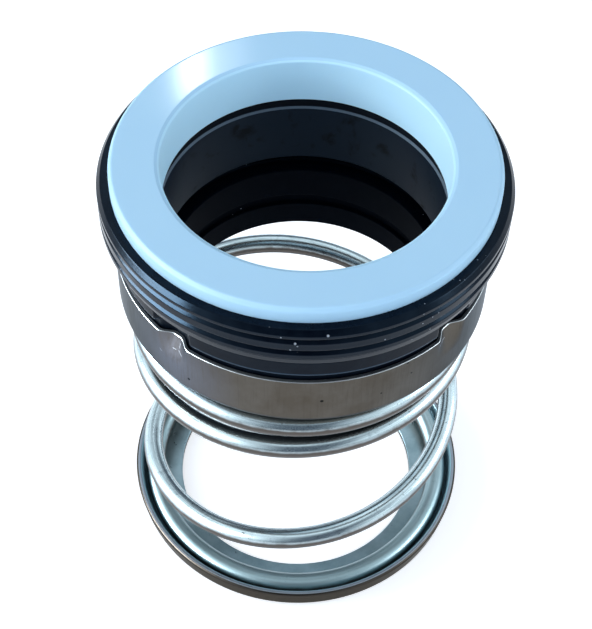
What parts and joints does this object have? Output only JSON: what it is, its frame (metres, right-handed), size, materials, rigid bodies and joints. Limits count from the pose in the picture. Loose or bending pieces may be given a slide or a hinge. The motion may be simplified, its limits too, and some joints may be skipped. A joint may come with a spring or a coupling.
{
  "type": "pump mechanical seal",
  "caption": "Rubber bellows mechanical shaft seal: carbon ring in a rubber bellows and metal shell on a coil spring and spring ring, with a ceramic seat in a ribbed rubber cup.",
  "frame": {"origin": "on the shaft axis, in the plane of the spring ring's underside, on which the seal stands", "axes": "+Z along the shaft axis from the spring ring to the seat, -Y towards the front of the picture, +X to its right"},
  "size_m": [0.0586, 0.0586, 0.0774],
  "materials": {
    "ring_steel": "pressed sheet steel, satin, teal-grey inside and brown-grey outside",
    "spring_wire": "bright drawn steel wire with fine lengthwise draw marks",
    "shell_steel": "thin pressed stainless steel, satin, with fine specks and a few scratches",
    "bellows_rubber": "smooth moulded black rubber",
    "carbon": "dark grey turned carbon, semi-matt, with smudges in the bore",
    "cup_rubber": "moulded black rubber with a soft sheen and a few specks of dust",
    "ceramic": "white alumina ceramic, lapped and polished face"
  },
  "bodies": {
    "ring": {"spring_ring": "ring_steel", "coil_spring": "spring_wire"},
    "head": {"metal_shell": "shell_steel", "rubber_bellows": "bellows_rubber", "carbon_ring": "carbon"},
    "seat": {"seat_cup": "cup_rubber", "seat_ring": "ceramic"}
  },
  "joints": [
    {"name": "spring_compression", "type": "slide", "parent": "ring", "child": "head", "axis": [0, 0, -1], "range_m": [0, 0.015], "stiffness_N_per_m": 2800, "springref_m": -0.00024, "deforming": ["coil_spring"]},
    {"name": "face_rotation", "type": "hinge", "parent": "head", "child": "seat", "pos_m": [0, 0, 0.0678], "axis": [0, 0, 1], "continuous": true}
  ]
}
